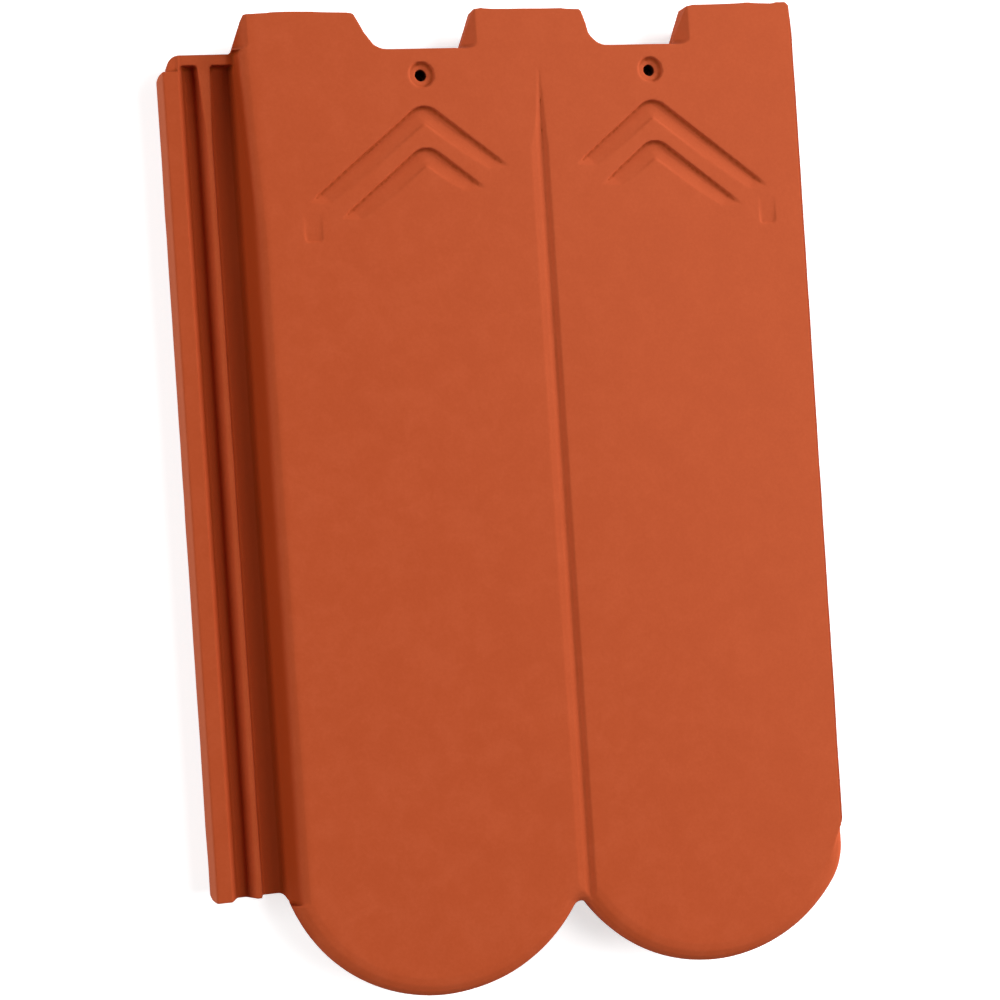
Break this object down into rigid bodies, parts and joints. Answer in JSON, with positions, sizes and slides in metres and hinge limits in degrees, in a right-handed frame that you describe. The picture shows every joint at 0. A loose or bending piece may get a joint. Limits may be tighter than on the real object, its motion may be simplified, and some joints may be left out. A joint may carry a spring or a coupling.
{
  "type": "clay roof tile",
  "caption": "Flat interlocking clay roof tile with a two-lobed foot, a false joint, a side lock with water channels, head tabs, nail holes and chevron recesses.",
  "frame": {"origin": "centre of the bounding box at its bottom, level with the feet of the nibs", "axes": "+X to the cover edge, +Y to the head of the tile, +Z out of the weather face"},
  "size_m": [0.288, 0.433, 0.032],
  "materials": {
    "clay": "matt unglazed natural red fired clay"
  },
  "bodies": {
    "root": {"tile_body": "clay"}
  },
  "joints": []
}
